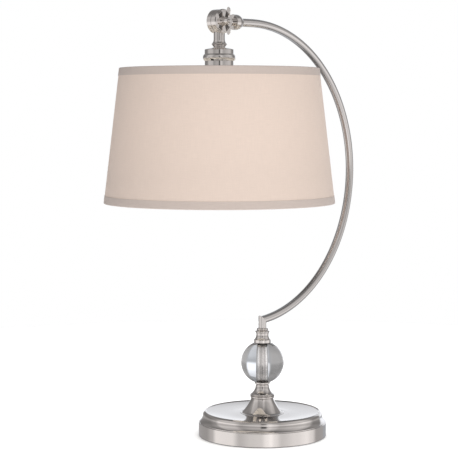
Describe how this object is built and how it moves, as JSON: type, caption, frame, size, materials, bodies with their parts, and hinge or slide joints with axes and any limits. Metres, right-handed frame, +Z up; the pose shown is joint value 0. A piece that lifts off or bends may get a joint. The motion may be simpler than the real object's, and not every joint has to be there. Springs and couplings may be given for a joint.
{
  "type": "table lamp",
  "caption": "Table lamp with a bowed metal arm, a crystal ball neck on a weighted round base, and a tapered drum shade hung from a tilting wing-nut knuckle.",
  "frame": {"origin": "centre of the felt underside of the base, on the table", "axes": "+Z up; the bowed arm lies in the XZ plane and bulges towards +X; the shade hangs on the -X side; the knuckle screw runs along Y with its wing nut on the -Y side"},
  "size_m": [0.4893, 0.3558, 0.674],
  "materials": {
    "polished_nickel": "bright polished nickel plate",
    "brushed_nickel": "fine lengthwise brushed nickel plate",
    "crystal": "clear polished crystal",
    "cast_iron": "as cast, painted black",
    "felt": "dense black felt",
    "zinc_steel": "zinc plated",
    "bush_rubber": "moulded, matt",
    "fibre": "pressed fibre",
    "brass": "drawn brass",
    "phenolic": "moulded phenolic",
    "shade_cloth": "plain weave cotton and linen, laminated",
    "shade_trim": "folded strip of the same cloth",
    "shade_liner": "white styrene sheet",
    "white_wire": "white powder coat",
    "opal_glass": "white frosted",
    "bulb_metal": "rolled thread",
    "bulb_insulator": "black insulator"
  },
  "bodies": {
    "stand": {"base_shell": "polished_nickel", "neck_bell": "polished_nickel", "neck_ring": "polished_nickel", "neck_flare": "polished_nickel", "ball_seat": "polished_nickel", "ball_sleeve": "polished_nickel", "ball_cap": "polished_nickel", "cap_ring": "polished_nickel", "post_collar": "polished_nickel", "arm_ferrule": "polished_nickel", "knuckle_rear_half": "polished_nickel", "pivot_screw": "polished_nickel", "wing_washer": "polished_nickel", "arm_tube": "brushed_nickel", "arm_post": "brushed_nickel", "crystal_ball": "crystal", "base_weight": "cast_iron", "base_felt": "felt", "base_washer": "zinc_steel", "base_nut": "zinc_steel", "threaded_pipe": "zinc_steel", "stop_pin": "zinc_steel", "cord_inlet_bush": "bush_rubber", "friction_washer": "fibre"},
    "shade_head": {"knuckle_front_half": "polished_nickel", "stem_nipple": "zinc_steel", "stem_washer": "zinc_steel", "husk_nut": "zinc_steel", "socket_husk": "polished_nickel", "socket_cap": "brass", "socket_body": "phenolic", "socket_screw_shell": "brass", "socket_contact": "brass", "bulb_glass": "opal_glass", "bulb_cap": "bulb_metal", "bulb_insulator": "bulb_insulator", "bulb_contact": "bulb_metal", "shade_cover": "shade_cloth", "shade_liner": "shade_liner", "shade_top_trim": "shade_trim", "shade_bottom_trim": "shade_trim", "shade_top_wire": "white_wire", "shade_bottom_wire": "white_wire", "shade_fitter_ring": "white_wire", "shade_clamp_ring": "white_wire", "spider_arm_1": "white_wire", "spider_arm_2": "white_wire", "spider_arm_3": "white_wire"},
    "clamp_nut": {"wing_nut": "polished_nickel"},
    "switch": {"switch_knob": "phenolic", "switch_shaft": "brass"}
  },
  "joints": [
    {"name": "shade_tilt", "type": "hinge", "parent": "stand", "child": "shade_head", "pos_m": [-0.0958, 0, 0.653], "axis": [0, 1, 0], "range_deg": [-10, 45]},
    {"name": "wing_nut_turn", "type": "hinge", "parent": "stand", "child": "clamp_nut", "pos_m": [-0.0958, -0.0165, 0.653], "axis": [0, -1, 0], "range_deg": [0, 270]},
    {"name": "switch_turn", "type": "hinge", "parent": "shade_head", "child": "switch", "pos_m": [-0.1288, 0, 0.574], "axis": [-1, 0, 0], "continuous": true}
  ]
}
